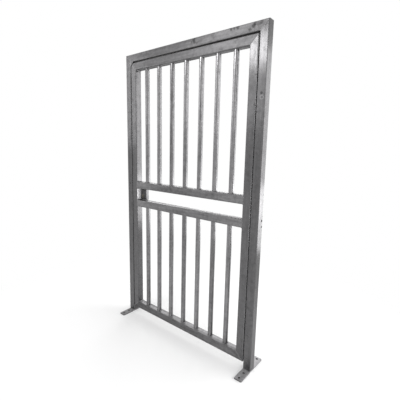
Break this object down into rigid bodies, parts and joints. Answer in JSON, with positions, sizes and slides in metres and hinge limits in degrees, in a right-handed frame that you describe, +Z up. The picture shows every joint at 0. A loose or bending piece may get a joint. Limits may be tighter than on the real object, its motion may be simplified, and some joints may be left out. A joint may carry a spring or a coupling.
{
  "type": "turnstile side gate",
  "caption": "Tall galvanised side gate: box-section portal frame on foot plates, with a hinged leaf of vertical round bars, two mid rails and a lock case between them.",
  "frame": {"origin": "centre of the underside of the lock post's foot plate, where it meets the ground", "axes": "+X along the gate from the lock post to the hinge post, +Y to the back, the side that the leaf opens to, +Z up"},
  "size_m": [1.35, 0.3, 2.35],
  "materials": {
    "galvanised_steel": "hot-dip galvanised, mottled",
    "lock_case_steel": "galvanised plate, dull",
    "lock_trim": "dark satin",
    "key_brass": "dull satin"
  },
  "bodies": {
    "frame": {"lock_post": "galvanised_steel", "hinge_post": "galvanised_steel", "header": "galvanised_steel", "corner_gusset": "galvanised_steel", "lock_foot_plate": "galvanised_steel", "hinge_foot_plate": "galvanised_steel", "lower_hinge_post_half": "galvanised_steel", "upper_hinge_post_half": "galvanised_steel"},
    "leaf": {"lock_stile": "galvanised_steel", "hinge_stile": "galvanised_steel", "top_rail": "galvanised_steel", "upper_mid_rail": "galvanised_steel", "lower_mid_rail": "galvanised_steel", "bottom_rail": "galvanised_steel", "leaf_corner_plate": "galvanised_steel", "upper_bar_1": "galvanised_steel", "upper_bar_2": "galvanised_steel", "upper_bar_3": "galvanised_steel", "upper_bar_4": "galvanised_steel", "upper_bar_5": "galvanised_steel", "upper_bar_6": "galvanised_steel", "upper_bar_7": "galvanised_steel", "lower_bar_1": "galvanised_steel", "lower_bar_2": "galvanised_steel", "lower_bar_3": "galvanised_steel", "lower_bar_4": "galvanised_steel", "lower_bar_5": "galvanised_steel", "lower_bar_6": "galvanised_steel", "lower_bar_7": "galvanised_steel", "lock_case": "lock_case_steel", "escutcheon": "lock_trim", "key_cylinder": "key_brass", "lower_hinge_leaf_half": "galvanised_steel", "upper_hinge_leaf_half": "galvanised_steel"}
  },
  "joints": [
    {"name": "leaf_hinge", "type": "hinge", "parent": "frame", "child": "leaf", "pos_m": [1.257, 0.042, 1.169], "axis": [0, 0, -1], "range_deg": [0, 170]}
  ]
}
